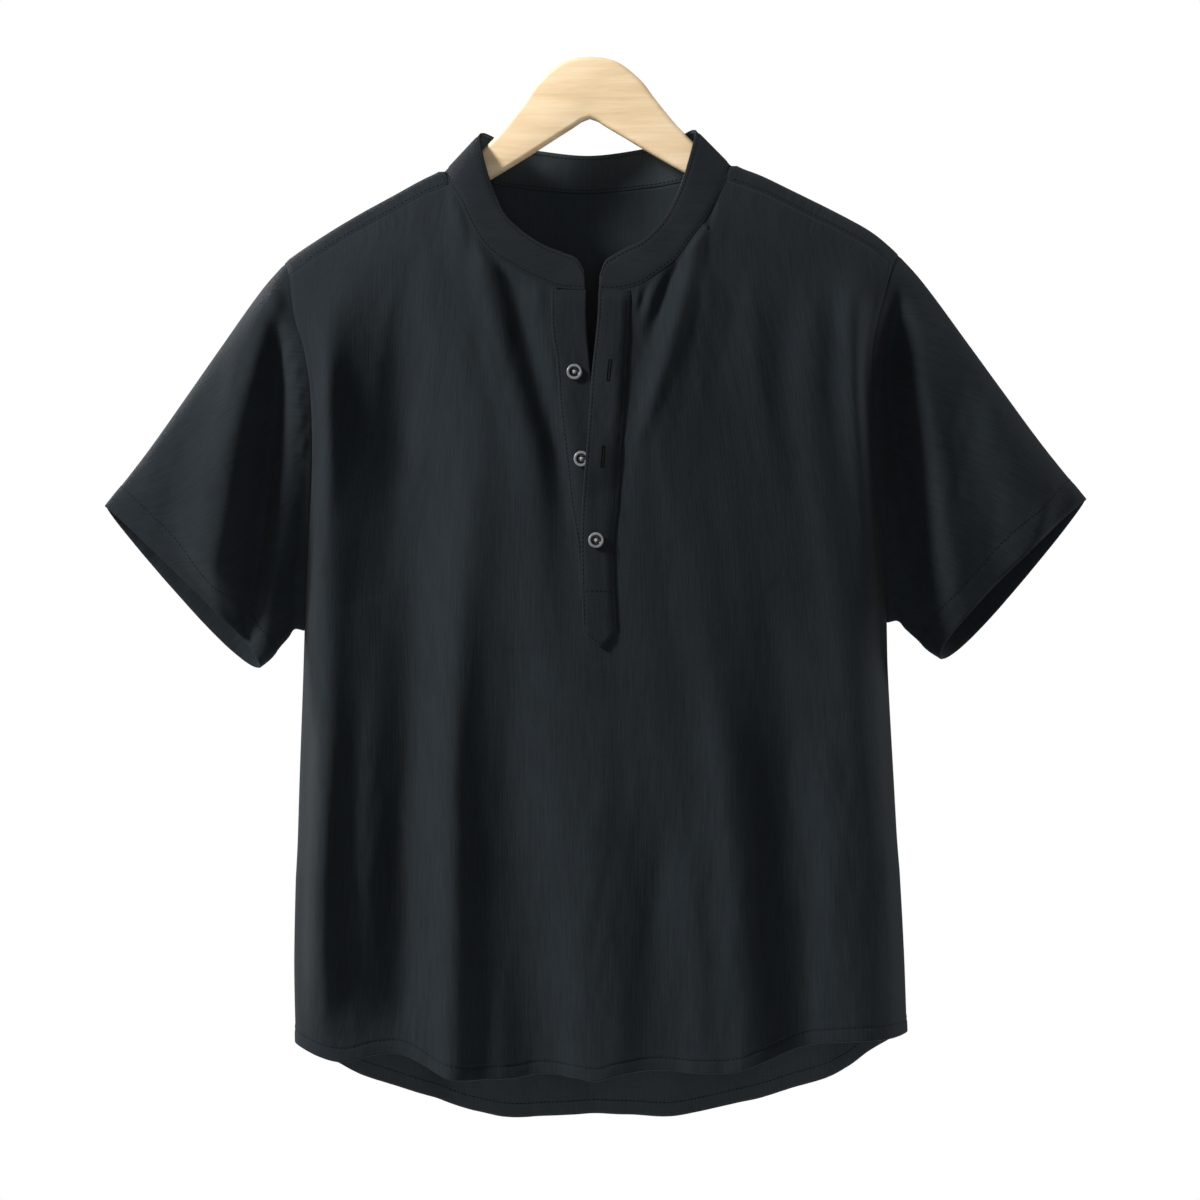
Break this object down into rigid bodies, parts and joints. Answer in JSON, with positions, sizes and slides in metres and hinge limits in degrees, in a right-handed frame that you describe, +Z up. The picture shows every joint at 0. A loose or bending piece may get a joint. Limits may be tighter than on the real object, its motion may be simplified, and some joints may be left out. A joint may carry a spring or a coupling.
{
  "type": "mandarin collar shirt on a wooden hanger",
  "caption": "Short-sleeved dark linen shirt with a mandarin collar, part-open button placket and curved drop hem, hanging on a flat pale wooden hanger.",
  "frame": {"origin": "top of the hanger's dome, on its middle plane, where the hanger is held", "axes": "+Z up, +X to the viewer's right when the front is seen, the front looks along -Y"},
  "size_m": [0.7347, 0.1243, 0.804],
  "materials": {
    "cloth": "matt slubby linen weave",
    "button": "satin",
    "hanger": "satin pale wood"
  },
  "bodies": {
    "root": {"front": "cloth", "back": "cloth", "sleeve_left": "cloth", "sleeve_right": "cloth", "collar_band": "cloth", "placket_under": "cloth", "placket_over": "cloth", "button_1": "button", "button_2": "button", "button_3": "button", "hanger": "hanger"}
  },
  "joints": []
}
